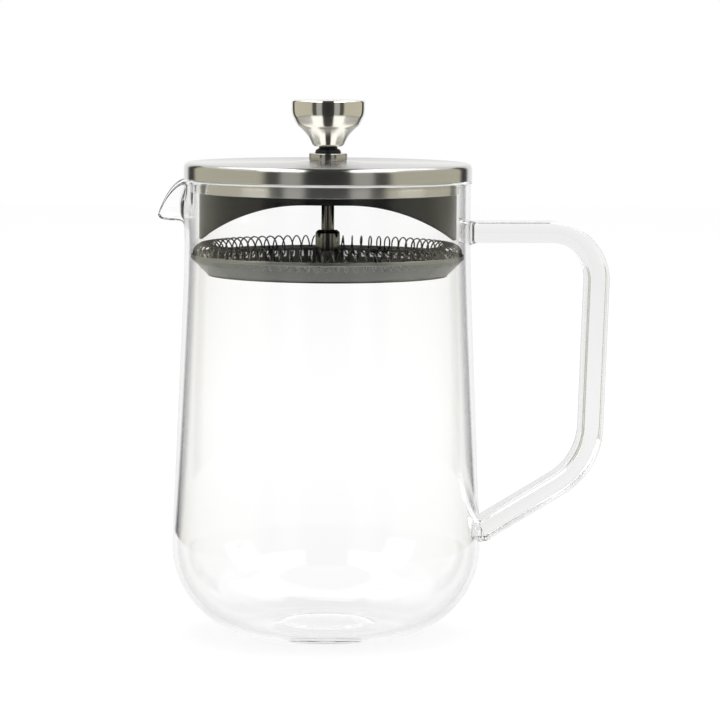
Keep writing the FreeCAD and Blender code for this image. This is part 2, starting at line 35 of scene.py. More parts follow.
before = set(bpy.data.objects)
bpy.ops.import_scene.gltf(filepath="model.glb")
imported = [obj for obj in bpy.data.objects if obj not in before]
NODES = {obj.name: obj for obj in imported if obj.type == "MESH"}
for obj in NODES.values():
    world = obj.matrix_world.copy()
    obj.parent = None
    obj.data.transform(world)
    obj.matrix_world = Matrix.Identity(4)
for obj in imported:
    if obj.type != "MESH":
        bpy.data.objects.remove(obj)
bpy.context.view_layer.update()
MM = 0.001
TURN = 2 * math.pi


def low(node):
    """The height of a CAD node's lowest point, in millimetres."""
    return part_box(node)[0][2] / MM


def high(node, axis=2):
    """The highest coordinate of a CAD node along an axis, in millimetres."""
    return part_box(node)[1][axis] / MM


# jug
RIM = high("glass_beaker")
CAP_UNDER = low("lid_cap")
NECK_RADIUS = 52.7
NECK_EASE = 0.25
WALL = 1.9
FLOOR_GLASS = 2.2
FLOOR_EASE = 24.0
CORNER_RADIUS = 33.0
CORNER_CENTRE = 24.3
SIDE_ANGLE = math.radians(2.5)
PUNT_RISE = 1.1
PUNT_EDGE = 14.6
PUNT_EASE = 5.0
BEAD_RADIUS = 1.2
BEAD_LIFT = CAP_UNDER - 0.1 - RIM
SPOUT_BEAD = 0.8
SPOUT_HALF_WIDTH = 15.0
SPOUT_START = 21.0
SPOUT_THINNING = 0.25
SPOUT_SIDE_FALL = 2.1
SPOUT_SPREAD = math.radians(24)
# Depth below the rim, and there how far out and how deep the wall goes at the spout's middle.
SPOUT_STATIONS = (
    (0.0, 62.3, 11.8), (1.0, 61.7, 12.7), (2.2, 60.3, 13.1), (4.0, 57.9, 13.35),
    (6.5, 55.4, 13.4), (9.0, 53.7, 13.9), (11.5, 53.0, 15.2), (14.5, 52.77, 17.2),
    (18.0, 52.71, 19.3), (SPOUT_START, NECK_RADIUS, SPOUT_START))
GLASS_CREASE = 80

# handle
HANDLE_THICK = 7.5
HANDLE_DEEP = 18.0
HANDLE_ROUND = 1.3
HANDLE_ROUTE = ((52.7, 149.4), (100.9, 149.4), (98.2, 62.5), (57.3, 38.1))
HANDLE_BENDS = (17.8, 26.0)
HANDLE_FLARE_TOP = 1.0
HANDLE_FLARE_FOOT = 0.6
HANDLE_FLARE_RUN = 1.8
HANDLE_FLARE_ROUND = 0.6
HANDLE_SPACING = 0.7
HANDLE_SINK = 0.9
HANDLE_CLEAR = 0.2

# lid
CAP_RADIUS = high("lid_cap", 0)
CAP_SUMMIT = high("lid_cap")
CAP_RISE = 0.8
CAP_TOP = CAP_SUMMIT - CAP_RISE
CAP_SHEET = 0.6
CAP_HEM = 1.6
CAP_SEAT_RADIUS = 8.0
CAP_SEAT_FOOT = 14.0
CAP_SEAT_EASE = 0.25
PAN_RADIUS = 48.3
PAN_SHEET = 0.5
PAN_BOTTOM = low("lid_pan")
GUARD_RADIUS = high("splash_guard", 0)
GUARD_WALL = 1.6
GUARD_TIP = low("splash_guard")
GUARD_DECK = high("bush_washer")
GUARD_DECK_THICK = 1.5
GUARD_POST_WALL = 2.4
GUARD_EDGE = 0.3
ARCH_TOP = 161.4
ARCH_RADIUS = 61.0
ARCH_FLAT = 7.4
LID_SET_ANGLE = math.radians(-4.8)
STEM_RADIUS = 4.0
STEM_HOLE = STEM_RADIUS + 0.1
FLANGE_RADIUS = high("lid_bush", 0)
FLANGE_TOP = high("lid_bush")
FLANGE_THICK = 2.6
SLEEVE_RADIUS = 3.1
DOME_RADIUS = high("rod_sleeve", 0)
COLLAR_RADIUS = 3.4
COLLAR_TOP = high("rod_sleeve") - 0.05

# plunger
ROD_RADIUS = 2.4
KNOB_BASE = low("knob")
KNOB_TOP = high("knob")
KNOB_RADIUS = high("knob", 0)
KNOB_SOCKET = 8.0
# Radius and height above the knob's base, from the upright rim down to the flared foot.
KNOB_SIDE = ((KNOB_RADIUS, 13.4), (13.35, 11.6), (12.75, 10.1), (11.6, 7.9), (9.9, 6.4),
             (8.4, 4.9), (7.3, 3.5), (6.5, 2.0), (5.9, 0.7))
HUB_RADIUS = high("rod_hub", 0)
PLATE_UNDER = low("spring_plate")
PLATE_SHEET = 0.5
PLATE_RADIUS = high("spring_plate", 0)
PLATE_RIM_TOP = high("spring_plate")
SLOT_LEVEL = PLATE_RIM_TOP - 2.0
SLOT_WIDTH = 1.7
SLOT_HEIGHT = 2.3
SLOT_CORNER = 0.5
DISH_UNDER = low("mesh_screen")
DISH_BASE_RADIUS = 44.6
DISH_RIM_RADIUS = high("mesh_screen", 0)
DISH_SLOPE_TOP = DISH_UNDER + 5.9
DISH_RIM_TOP = high("mesh_screen")
DISH_SHEET = 0.25
COIL_TURNS = 80
COIL_RING_RADIUS = 45.9
COIL_LOOP_RADIUS = 3.6
COIL_LEVEL = (low("filter_spring") + high("filter_spring")) / 2
COIL_WIRE = 0.6
COIL_STEPS = 22


# ---- colour and nodes

def linear(hex_colour, level=1.0):
    """An sRGB hex colour as linear red, green, blue and alpha, dimmed or raised by a level."""
    parts = [int(hex_colour[i:i + 2], 16) / 255 for i in (0, 2, 4)]
    parts = [p / 12.92 if p <= 0.04045 else ((p + 0.055) / 1.055) ** 2.4 for p in parts]
    return tuple(min(p * level, 1.0) for p in parts) + (1.0,)


def add_node(tree, kind, inputs=None, **settings):
    """Adds a node, sets its properties, and sets or links each named input.

    A node that is given for an input stands for its first output.
    """
    made = tree.nodes.new(kind)
    for key, value in settings.items():
        setattr(made, key, value)
    for name, value in (inputs or {}).items():
        if isinstance(value, bpy.types.Node):
            value = value.outputs[0]
        if isinstance(value, bpy.types.NodeSocket):
            tree.links.new(value, made.inputs[name])
        else:
            made.inputs[name].default_value = value
    return made


def new_material(name):
    """An empty material and its node tree."""
    material = bpy.data.materials.new(name)
    material.use_nodes = True
    material.node_tree.nodes.clear()
    return material, material.node_tree


def around_axis(tree, lengthwise, crosswise):
    """Coordinates that run round the upright axis: slow along the turn, quick across it.

    lengthwise is how many noise cells there are per radian, crosswise how many per millimetre.
    """
    place = add_node(tree, "ShaderNodeTexCoord").outputs["Object"]
    split = add_node(tree, "ShaderNodeSeparateXYZ", {0: place})
    flat = add_node(tree, "ShaderNodeCombineXYZ", {0: split.outputs[0], 1: split.outputs[1]})
    length = add_node(tree, "ShaderNodeVectorMath", {0: flat}, operation="LENGTH")
    direction = add_node(tree, "ShaderNodeVectorMath", {0: flat}, operation="NORMALIZE")
    spread = add_node(tree, "ShaderNodeVectorMath",
                      {0: direction, "Scale": lengthwise}, operation="SCALE")
    out_and_up = add_node(tree, "ShaderNodeMath",
                          {0: length.outputs["Value"], 1: split.outputs[2]}, operation="SUBTRACT")
    across = add_node(tree, "ShaderNodeMath",
                      {0: out_and_up, 1: crosswise / MM}, operation="MULTIPLY")
    parts = add_node(tree, "ShaderNodeSeparateXYZ", {0: spread})
    return add_node(tree, "ShaderNodeCombineXYZ", {
        0: parts.outputs[0], 1: parts.outputs[1], 2: across}).outputs[0]


# ---- materials

# Light that comes back from glass met head-on, as a share of the usual, so that it stays clear.
HEAD_ON_MIRROR = 0.3
GLASS_IOR = 1.47
# How fast the painted edge shade (grey) fades in from an outline, and how fast it goes as a surface
# lies down.
EDGE_FALL = 5.0
LYING_FALL = 4.0
SCREEN_PITCH = 0.32
SCREEN_WIRE_EDGE = (0.42, 0.58)
SCREEN_LIP_OPEN = 0.12
STREAKS_PER_RADIAN = 2.2


def borosilicate_glass(name, colour, clear_share, painted_edge_shade="6E716E", upright_only=True):
    """Fire-polished borosilicate: clear where one looks through, grey where one looks along.
    The grey is painted shade in the base colour, standing in for darker edges.

    On the jug only the upright wall gets this painted shade; the foot and the lip show the white
    table.
    """
    material, tree = new_material(name)
    grazing = add_node(tree, "ShaderNodeLayerWeight", {"Blend": 0.5})
    edge = add_node(tree, "ShaderNodeMath",
                    {0: grazing.outputs["Facing"], 1: EDGE_FALL}, operation="POWER")
    if upright_only:
        surface = add_node(tree, "ShaderNodeNewGeometry")
        rise = add_node(tree, "ShaderNodeSeparateXYZ", {0: surface.outputs["True Normal"]})
        lying = add_node(tree, "ShaderNodeMath",
                         {0: rise.outputs[2], 1: LYING_FALL}, operation="POWER")
        upright = add_node(tree, "ShaderNodeMath", {0: 1.0, 1: lying}, operation="SUBTRACT")
        edge = add_node(tree, "ShaderNodeMath", {0: edge, 1: upright}, operation="MULTIPLY")
    # Painted shade: the base colour turns grey towards outlines.
    tint = add_node(tree, "ShaderNodeMix", {
        "Factor": edge, 6: linear(colour), 7: linear(painted_edge_shade)}, data_type="RGBA")
    glass = add_node(tree, "ShaderNodeBsdfPrincipled", {
        "Base Color": tint.outputs[2], "Roughness": 0.0, "IOR": GLASS_IOR,
        "Specular Tint": (HEAD_ON_MIRROR,) * 3 + (1.0,), "Transmission Weight": clear_share})
    add_node(tree, "ShaderNodeOutputMaterial", {0: glass})
    return material


def steel(name, colour, roughness, grain, depth, anisotropy=0.0):
    """Stainless steel with a grain of a size and a depth in millimetres.

    With an anisotropy it is brushed in circles round the upright axis. Without one the grain
    is even, as on rolled, drawn or buffed steel. Real scratches are about 0.1 mm apart, too
    fine to show, and are drawn 0.35 to 0.8 mm apart.
    """
    material, tree = new_material(name)
    if anisotropy:
        place, scale = around_axis(tree, STREAKS_PER_RADIAN, 1 / grain), 1.0
        detail, darker, paler, wander, strength = 3.0, 0.93, 1.05, 0.15, 0.35
        tangent = add_node(tree, "ShaderNodeTangent", direction_type="RADIAL", axis="Z")
        brushing = {"Anisotropic": anisotropy, "Anisotropic Rotation": 0.25, "Tangent": tangent}
    else:
        place, scale = add_node(tree, "ShaderNodeTexCoord").outputs["Object"], 1 / (grain * MM)
        detail, darker, paler, wander, strength = 4.0, 0.92, 1.06, 0.2, 0.3
        brushing = {}
    cloud = add_node(tree, "ShaderNodeTexNoise", {
        "Vector": place, "Scale": scale, "Detail": detail, "Roughness": 0.6})
    tone = add_node(tree, "ShaderNodeMix", {
        "Factor": cloud, 6: linear(colour, darker), 7: linear(colour, paler)}, data_type="RGBA")
    gloss = add_node(tree, "ShaderNodeMapRange", {
        "Value": cloud, "To Min": roughness * (1 - wander), "To Max": roughness * (1 + wander)})
    relief = add_node(tree, "ShaderNodeBump", {
        "Strength": strength, "Distance": depth * MM, "Height": cloud})
    metal = add_node(tree, "ShaderNodeBsdfPrincipled", {
        "Base Color": tone.outputs[2], "Metallic": 1.0, "Roughness": gloss,
        "Normal": relief, **brushing})
    add_node(tree, "ShaderNodeOutputMaterial", {0: metal})
    return material


def woven_screen():
    """Fine stainless screen: bright wires, holes that light comes through, a folded lip.

    A real one has five or six wires to the millimetre, too fine to show; here there are three.
    """
    material, tree = new_material("woven_stainless_screen")
    place = add_node(tree, "ShaderNodeTexCoord").outputs["Object"]
    split = add_node(tree, "ShaderNodeSeparateXYZ", {0: place})
    gaps = []
    for axis in (0, 1):
        turns = add_node(tree, "ShaderNodeMath", {
            0: split.outputs[axis], 1: math.pi / (SCREEN_PITCH * MM)}, operation="MULTIPLY")
        wave = add_node(tree, "ShaderNodeMath", {0: turns}, operation="SINE")
        swing = add_node(tree, "ShaderNodeMath", {0: wave}, operation="ABSOLUTE")
        gaps.append(add_node(tree, "ShaderNodeMapRange", {
            "Value": swing, "From Min": SCREEN_WIRE_EDGE[0],
            "From Max": SCREEN_WIRE_EDGE[1]}))
    hole = add_node(tree, "ShaderNodeMath", {0: gaps[0], 1: gaps[1]}, operation="MULTIPLY")
    single = add_node(tree, "ShaderNodeMapRange", {
        "Value": split.outputs[2], "From Min": (DISH_SLOPE_TOP - 0.3) * MM,
        "From Max": (DISH_SLOPE_TOP + 0.1) * MM, "To Min": 1.0, "To Max": SCREEN_LIP_OPEN})
    open_share = add_node(tree, "ShaderNodeMath", {0: hole, 1: single}, operation="MULTIPLY")
    wire = add_node(tree, "ShaderNodeMath", {0: 1.0, 1: open_share}, operation="SUBTRACT")
    relief = add_node(tree, "ShaderNodeBump", {
        "Strength": 0.4, "Distance": 0.04 * MM, "Height": hole})
    metal = add_node(tree, "ShaderNodeBsdfPrincipled", {
        "Base Color": linear("9A9B96"), "Metallic": 1.0, "Roughness": 0.33, "Alpha": wire,
        "Normal": relief})
    add_node(tree, "ShaderNodeOutputMaterial", {0: metal})
    return material


def moulded_plastic():
    """Black polypropylene: moulded, so its black is satin, softly lit and nearly without grain.

    The tool's grain is about 0.1 mm, too fine to show, and is drawn at 0.5 mm.
    """
    material, tree = new_material("moulded_black_polypropylene")
    place = add_node(tree, "ShaderNodeTexCoord").outputs["Object"]
    grain = add_node(tree, "ShaderNodeTexNoise", {
        "Vector": place, "Scale": 1 / (0.5 * MM), "Detail": 2.0})
    relief = add_node(tree, "ShaderNodeBump", {
        "Strength": 0.15, "Distance": 0.02 * MM, "Height": grain})
    tone = add_node(tree, "ShaderNodeMix", {
        "Factor": grain, 6: linear("111213"), 7: linear("16181A")}, data_type="RGBA")
    gloss = add_node(tree, "ShaderNodeMapRange", {"Value": grain, "To Min": 0.32, "To Max": 0.40})
    plastic = add_node(tree, "ShaderNodeBsdfPrincipled", {
        "Base Color": tone.outputs[2], "Roughness": gloss, "IOR": 1.49,
        "Specular IOR Level": 0.25, "Normal": relief})
    add_node(tree, "ShaderNodeOutputMaterial", {0: plastic})
    return material


# Blown wall: white shows straight through it, and only its outline is grey, as painted shade.
GLASS = borosilicate_glass("blown_borosilicate_glass", "FFFFFF", 1.0)
# The fire-polished rim gathers light from the whole wall; here that is painted as a pale, milky
# white in the rim's own colour, a painted highlight.
PAINTED_PALE_RIM_GLASS = borosilicate_glass("rim_glass_painted_pale", "FEFEFE", 0.45)
# Solid strap: thicker than the wall, so it is faintly grey, with darker lines at its edges that are
# painted shade.
STRAP_GLASS = borosilicate_glass("solid_strap_borosilicate", "EFF0EF", 1.0, "8C8E8C", False)
# Sheet brushed in circles: a sheen that fans out in light and dark sectors from the middle.
BRUSHED_CAP = steel("circle_brushed_stainless_cap", "C6C5C2", 0.20, 0.45, 0.004, 0.85)
# The same brushing on a narrow band: upright bars of light and dark with soft edges.
BRUSHED_BAND = steel("circle_brushed_stainless_band", "CCCBC8", 0.24, 0.45, 0.003, 0.85)
# Polished on the lathe: sharp mirror images, drawn out slightly by the finest rings.
KNOB_STEEL = steel("lathe_polished_stainless", "DBD9D3", 0.09, 0.35, 0.0015, 0.3)
# Buffed nut and flange: bright, with a slight haze over the mirror image.
BUFFED = steel("buffed_stainless", "B9B7B2", 0.12, 0.8, 0.002)
# Drawn bar: a dark mirror with narrow light stripes down its length. Its steel is painted darker
# than real, as painted shade.
ROD_STEEL_PAINTED_DARK = steel("drawn_stainless_rod_painted_dark", "7F7D78", 0.12, 0.6, 0.002)
# Spring wire, its steel painted darker than real as painted shade: thin dark lines with a small
# glint.
WIRE_STEEL_PAINTED_DARK = steel("stainless_wire_painted_dark", "5A5955", 0.18, 0.5, 0.003)
# Pressed and left dull: an even mid-grey without clear mirror images, painted darker than real steel
# as painted shade.
PRESSED_STEEL_PAINTED_DARK = steel("dull_pressed_stainless_painted_dark", "6E6D69", 0.3, 0.7, 0.006)
SCREEN = woven_screen()
PLASTIC = moulded_plastic()


# ---- meshes

# The angle in degrees past which an edge stays sharp.
CREASE = 35.0


def in_scene(name, data):
    """A new object in the scene for a mesh, a lamp or a camera."""
    made = bpy.data.objects.new(name, data)
    bpy.context.scene.collection.objects.link(made)
    return made


def grid_faces(rows, columns, loop_rows=False, loop_columns=True):
    """Faces between neighbouring points of a grid that is stored row by row."""
    faces = []
    for row in range(rows if loop_rows else rows - 1):
        here, there = row * columns, (row + 1) % rows * columns
        for column in range(columns if loop_columns else columns - 1):
            after = (column + 1) % columns
            faces.append((here + column, here + after, there + after, there + column))
    return faces


def about_axis(r, angle, z):
    """The point at a radius, a turn round the upright axis and a height."""
    return (r * math.cos(angle), r * math.sin(angle), z)


def angles(segments):
    """Even steps round the upright axis."""
    return [TURN * number / segments for number in range(segments)]


def eased(a, b, c, d, t):
    """A smooth curve's value a share t of the way from b to c, with a before and d after them."""
    return 0.5 * (2 * b + (c - a) * t + (2 * a - 5 * b + 4 * c - d) * t * t
                  + (3 * b - a - 3 * c + d) * t ** 3)


def beside(stations, number):
    """The four stations a smooth curve needs between one station and the next."""
    return [stations[min(max(number + step, 0), len(stations) - 1)] for step in (-1, 0, 1, 2)]


def corner_points(width, height, corner, steps):
    """A rectangle with rounded corners, anticlockwise, as pairs."""
    points = []
    for quarter, (across, up) in enumerate(((1, 1), (-1, 1), (-1, -1), (1, -1))):
        for step in range(steps + 1):
            angle = (quarter + step / steps) * math.pi / 2
            points.append((across * (width / 2 - corner) + corner * math.cos(angle),
                           up * (height / 2 - corner) + corner * math.sin(angle)))
    return points


def plain_mesh(name, points, faces, *materials):
    """A mesh object from points in metres."""
    mesh = bpy.data.meshes.new(name)
    mesh.from_pydata(points, [], faces)
    for material in materials:
        mesh.materials.append(material)
    return in_scene(name, mesh)


def new_piece(name, points, faces, material, sharp=CREASE):
    """A smooth-shaded mesh object from points in millimetres, with creases past an angle."""
    piece = plain_mesh(name, [Vector(p) * MM for p in points], faces, material)
    piece.data.validate()
    finish_surface(piece.data, sharp)
    return piece


def shade(mesh, sharp=CREASE):
    """Shades a mesh smooth, with creases past an angle in degrees."""
    for face in mesh.polygons:
        face.use_smooth = True
    mesh.set_sharp_from_angle(angle=math.radians(sharp))


def settled(piece):
    """Turns what a piece's modifiers make into its plain mesh."""
    graph = bpy.context.evaluated_depsgraph_get()
    mesh = bpy.data.meshes.new_from_object(piece.evaluated_get(graph))
    piece.modifiers.clear()
    piece.data = mesh
    return piece


def finish_surface(mesh, sharp=CREASE):
    """Merges doubles, turns the faces outwards and shades them."""
    work = bmesh.new()
    work.from_mesh(mesh)
    bmesh.ops.remove_doubles(work, verts=work.verts, dist=0.0005 * MM)
    bmesh.ops.recalc_face_normals(work, faces=work.faces)
    work.to_mesh(mesh)
    work.free()
    shade(mesh, sharp)


def rounded(corners, steps=4):
    """A closed outline (x, z, radius) with each corner rounded by its radius."""
    outline = []
    count = len(corners)
    for number, (x, z, radius) in enumerate(corners):
        corner = Vector((x, z))
        if radius <= 0:
            outline.append((x, z))
            continue
        before = Vector(corners[number - 1][:2]) - corner
        after = Vector(corners[(number + 1) % count][:2]) - corner
        angle = before.angle(after)
        reach = min(radius / math.tan(angle / 2), before.length * 0.49, after.length * 0.49)
        start = corner + before.normalized() * reach
        stop = corner + after.normalized() * reach
        for step in range(steps + 1):
            t = step / steps
            point = start * (1 - t) ** 2 + corner * 2 * t * (1 - t) + stop * t * t
            outline.append((point.x, point.y))
    return outline


def lathe(name, corners, material, segments=192, steps=4):
    """Turns a closed outline about the upright axis. Points on the axis close to a pole."""
    points, faces, rows = [], [], []
    for x, z in rounded(corners, steps):
        if abs(x) < 1e-6:
            rows.append([len(points)] * segments)
            points.append((0, 0, z))
            continue
        rows.append(list(range(len(points), len(points) + segments)))
        points += [about_axis(x, angle, z) for angle in angles(segments)]
    for here, there in zip(rows, rows[1:] + rows[:1]):
        for column in range(segments):
            after = (column + 1) % segments
            face = list(dict.fromkeys((here[column], here[after], there[after], there[column])))
            if len(face) > 2:
                faces.append(face)
    return new_piece(name, points, faces, material)


# ---- glass jug

def smooth_step(value):
    """Eases from 0 to 1, level at both ends."""
    value = min(max(value, 0.0), 1.0)
    return value * value * (3 - 2 * value)


def side_radius(z):
    """Outer radius of the jug above its rounded corner: a leaning side that eases to the neck."""
    shoulder_x = CORNER_CENTRE + CORNER_RADIUS * math.cos(SIDE_ANGLE)
    shoulder_z = CORNER_RADIUS + CORNER_RADIUS * math.sin(SIDE_ANGLE)
    leaning = shoulder_x - (z - shoulder_z) * math.tan(SIDE_ANGLE)
    gap = (leaning - NECK_RADIUS) / NECK_EASE
    return NECK_RADIUS + NECK_EASE * math.log1p(math.exp(gap))


def jug_outer_profile():
    """(radius, height) from the middle of the foot up to the rim."""
    profile = []
    for step in range(17):
        r = CORNER_CENTRE * step / 16
        rise = PUNT_RISE * (1 - smooth_step((r - PUNT_EDGE) / PUNT_EASE))
        profile.append((r, rise))
    for step in range(1, 29):
        angle = -math.pi / 2 + (math.pi / 2 + SIDE_ANGLE) * step / 28
        profile.append((CORNER_CENTRE + CORNER_RADIUS * math.cos(angle),
                        CORNER_RADIUS + CORNER_RADIUS * math.sin(angle)))
    bend = profile[-1][1]
    spout_foot = RIM - SPOUT_START - 3
    for start, stop, steps in ((bend, spout_foot, 24), (spout_foot, RIM - BEAD_RADIUS, 36)):
        for step in range(1, steps + 1):
            z = start + (stop - start) * step / steps
            profile.append((side_radius(z), z))
    return profile


def spout_centre(depth):
    """Where the wall's outer face goes on the spout's centre line, for a depth below the rim."""
    for number in range(len(SPOUT_STATIONS) - 1):
        if depth <= SPOUT_STATIONS[number + 1][0]:
            break
    around = beside(SPOUT_STATIONS, number)
    t = (depth - around[1][0]) / (around[2][0] - around[1][0])
    return [eased(*(station[axis] for station in around), t) for axis in (1, 2)]


def spout_share(y):
    """How much of the spout's pull a point to the side of its centre line gets: 1 on it."""
    if abs(y) >= SPOUT_HALF_WIDTH:
        return 0.0
    return math.cos(math.pi * y / (2 * SPOUT_HALF_WIDTH)) ** 2


def pulled(r, z, angle):
    """A point of the jug's outer wall, drawn out towards -X where the spout is."""
    x, y, z = about_axis(r, angle, z)
    depth = RIM - BEAD_RADIUS - z
    if x > 0 or depth >= SPOUT_START:
        return Vector((x, y, z))
    share = spout_share(y)
    reach, drop = spout_centre(max(depth, 0.0))
    x -= share * (reach - NECK_RADIUS)
    z -= share ** SPOUT_SIDE_FALL * (drop - depth)
    return Vector((x, y, z))


def jug_columns():
    """Angles round the jug, twice as close together at the spout."""
    spout, fine = SPOUT_SPREAD, 72
    rest, coarse = TURN - 2 * spout, 200
    return ([math.pi + spout + rest * step / coarse for step in range(coarse)]
            + [math.pi - spout + 2 * spout * step / fine for step in range(fine)])


def glass_jug_mesh():
    """Outer wall, rolled rim and inner wall of the jug as one closed skin."""
    columns = jug_columns()
    profile = jug_outer_profile()
    count = len(columns)
    outer = [[pulled(r, z, a) for a in columns] for r, z in profile]
    normals = []
    for row in range(len(outer)):
        below = outer[max(row - 1, 0)]
        above = outer[min(row + 1, len(outer) - 1)]
        line = []
        for column in range(count):
            rise = above[column] - below[column]
            around = outer[row][(column + 1) % count] - outer[row][column - 1]
            normal = around.cross(rise)
            if row == 0:
                normal = Vector((0, 0, -1))
            line.append(normal.normalized())
        normals.append(line)
    grid = outer[1:]
    top, face_out = outer[-1], normals[-1]
    rise = [(top[c] - outer[-2][c]).normalized() for c in range(count)]
    drawn = [spout_share(NECK_RADIUS * math.sin(a)) if math.cos(a) < 0 else 0.0 for a in columns]
    walls = [WALL * (1 - SPOUT_THINNING * share) for share in drawn]
    beads = [BEAD_RADIUS - (BEAD_RADIUS - SPOUT_BEAD) * share for share in drawn]
    lift = [BEAD_LIFT * (1 - share) for share in drawn]
    # The rolled rim, from the outer wall over to the inner one.
    for step in range(1, 12):
        angle = math.pi * step / 12
        ring = []
        for c in range(count):
            swell = beads[c] - walls[c] / 2
            middle = top[c] - face_out[c] * (walls[c] / 2 - swell) + rise[c] * (swell + lift[c])
            ring.append(middle + face_out[c] * beads[c] * math.cos(angle)
                        + rise[c] * beads[c] * math.sin(angle))
        grid.append(ring)
    # The inner wall, from the rim down to the floor.
    for row in range(len(outer) - 2, 0, -1):
        floor_share = 1 - smooth_step((profile[row][0] - CORNER_CENTRE) / FLOOR_EASE)
        near_rim = smooth_step(1 - (RIM - BEAD_RADIUS - profile[row][1]) / SPOUT_START)
        grid.append([outer[row][c] - normals[row][c] * (
            walls[c] * near_rim + WALL * (1 - near_rim) + (FLOOR_GLASS - WALL) * floor_share)
            for c in range(count)])
    points = [tuple(p) for line in grid for p in line]
    faces = grid_faces(len(grid), count)
    # A pole closes the foot and another the floor.
    for row, z in ((0, profile[0][1]), (len(grid) - 1, profile[0][1] + FLOOR_GLASS)):
        pole = len(points)
        points.append((0.0, 0.0, z))
        for c in range(count):
            faces.append((row * count + c, row * count + (c + 1) % count, pole))
    return points, faces


def handle_centre_line():
    """Points along the handle's middle, with its two rounded bends."""
    corners = [Vector((x, z)) for x, z in HANDLE_ROUTE]
    line = [corners[0]]
    for number, radius in enumerate(HANDLE_BENDS, start=1):
        before = (corners[number - 1] - corners[number]).normalized()
        after = (corners[number + 1] - corners[number]).normalized()
        half = before.angle(after) / 2
        reach = radius / math.tan(half)
        centre = corners[number] + (before + after).normalized() * radius / math.sin(half)
        start = corners[number] + before * reach - centre
        stop = corners[number] + after * reach - centre
        sweep = start.angle(stop)
        steps = 26
        for step in range(steps + 1):
            t = step / steps
            arm = (start * math.sin((1 - t) * sweep) + stop * math.sin(t * sweep)) / math.sin(sweep)
            line.append(centre + arm)
    line.append(corners[-1])
    return line


def resample(line, spacing):
    """Even stretches of about the spacing: each place and its distance from both ends."""
    lengths = [0.0]
    for a, b in zip(line, line[1:]):
        lengths.append(lengths[-1] + (b - a).length)
    count = int(lengths[-1] / spacing)
    result = []
    index = 0
    for step in range(count + 1):
        target = lengths[-1] * step / count
        while index < len(line) - 2 and lengths[index + 1] < target:
            index += 1
        t = (target - lengths[index]) / (lengths[index + 1] - lengths[index])
        result.append((line[index].lerp(line[index + 1], t), target, lengths[-1] - target))
    return result


def glass_handle_mesh():
    """The bent glass strap, spreading where it is fused to the wall."""
    stations = resample(handle_centre_line(), HANDLE_SPACING)
    rings = []
    for number, (place, from_top, from_foot) in enumerate(stations):
        before = stations[max(number - 1, 0)][0]
        after = stations[min(number + 1, len(stations) - 1)][0]
        along = (after - before).normalized()
        across = Vector((-along.y, along.x))
        near = min(from_top, from_foot)
        flare = HANDLE_FLARE_TOP if from_top < from_foot else HANDLE_FLARE_FOOT
        spread = flare * max(0.0, 1 - near / HANDLE_FLARE_RUN) ** 2
        ring = []
        for t, d in corner_points(HANDLE_THICK + 2 * spread, HANDLE_DEEP + 2 * spread,
                                  HANDLE_ROUND + spread * HANDLE_FLARE_ROUND, 5):
            flat = place + across * t
            ring.append(Vector((flat.x, d, flat.y)))
        rings.append(ring)
    for end in (0, -1):
        for point in rings[end]:
            wall = side_radius(max(point.z, CORNER_RADIUS + 2)) - HANDLE_SINK
            point.x = math.sqrt(wall * wall - point.y ** 2)
    size = len(rings[0])
    points = [tuple(p) for ring in rings for p in ring]
    faces = grid_faces(len(rings), size)
    faces.append(tuple(range(size)))
    faces.append(tuple(range(len(points) - size, len(points))))
    return points, faces


def glass_jug():
    """Jug and handle joined into one skin, as the fused glass is."""
    jug = new_piece("glass_jug", *glass_jug_mesh(), GLASS, GLASS_CREASE)
    strap = new_piece("handle_blank", *glass_handle_mesh(), GLASS, GLASS_CREASE)
    union = jug.modifiers.new("fuse", "BOOLEAN")
    union.operation = "UNION"
    union.solver = "EXACT"
    union.object = strap
    fused = settled(jug).data
    fused.materials.append(PAINTED_PALE_RIM_GLASS)
    fused.materials.append(STRAP_GLASS)
    bpy.data.objects.remove(strap)
    for face in fused.polygons:
        middle = face.center / MM
        # The rim gets the pale glass with its painted highlight.
        if middle.z > RIM:
            face.material_index = 1
        elif middle.x > 0 and middle.z > CORNER_RADIUS and \
                math.hypot(middle.x, middle.y) > side_radius(middle.z) + HANDLE_CLEAR:
            face.material_index = 2
    shade(fused, GLASS_CREASE)
    return jug


# ---- lid

def lid_cap():
    """Pressed cap: crowned top that rises to a seat, rolled edge, turned-in hem."""
    inner = CAP_RADIUS - CAP_SHEET
    hem = CAP_RADIUS - CAP_HEM
    ease = CAP_TOP + CAP_SEAT_EASE
    return lathe("pressed_cap", [
        (STEM_HOLE, CAP_SUMMIT, 0.1), (CAP_SEAT_RADIUS, CAP_SUMMIT, 1.5), (CAP_SEAT_FOOT, ease, 8.0),
        (CAP_RADIUS, CAP_TOP, 2.2), (CAP_RADIUS, CAP_UNDER, 0.35), (hem, CAP_UNDER, 0.2),
        (hem, CAP_UNDER + 0.55, 0.1), (inner, CAP_UNDER + 0.6, 0.1),
        (inner, CAP_TOP - CAP_SHEET, 1.6), (CAP_SEAT_FOOT, ease - CAP_SHEET, 6.0),
        (CAP_SEAT_RADIUS, CAP_SUMMIT - CAP_SHEET, 1.0), (STEM_HOLE, CAP_SUMMIT - CAP_SHEET, 0.1)],
        BRUSHED_CAP, segments=256, steps=8)


def lid_pan():
    """Steel band inside the mouth, with its flange held in the cap's hem."""
    base = CAP_UNDER + CAP_SHEET
    inner = PAN_RADIUS - PAN_SHEET
    return lathe("mouth_band", [
        (inner, PAN_BOTTOM, 0.2), (PAN_RADIUS, PAN_BOTTOM, 0.2),
        (PAN_RADIUS, base, 0.5), (CAP_RADIUS - CAP_SHEET - 0.1, base, 0.05),
        (CAP_RADIUS - CAP_SHEET - 0.1, base + PAN_SHEET, 0.05),
        (inner, base + PAN_SHEET, 0.9)], BRUSHED_BAND, segments=256)


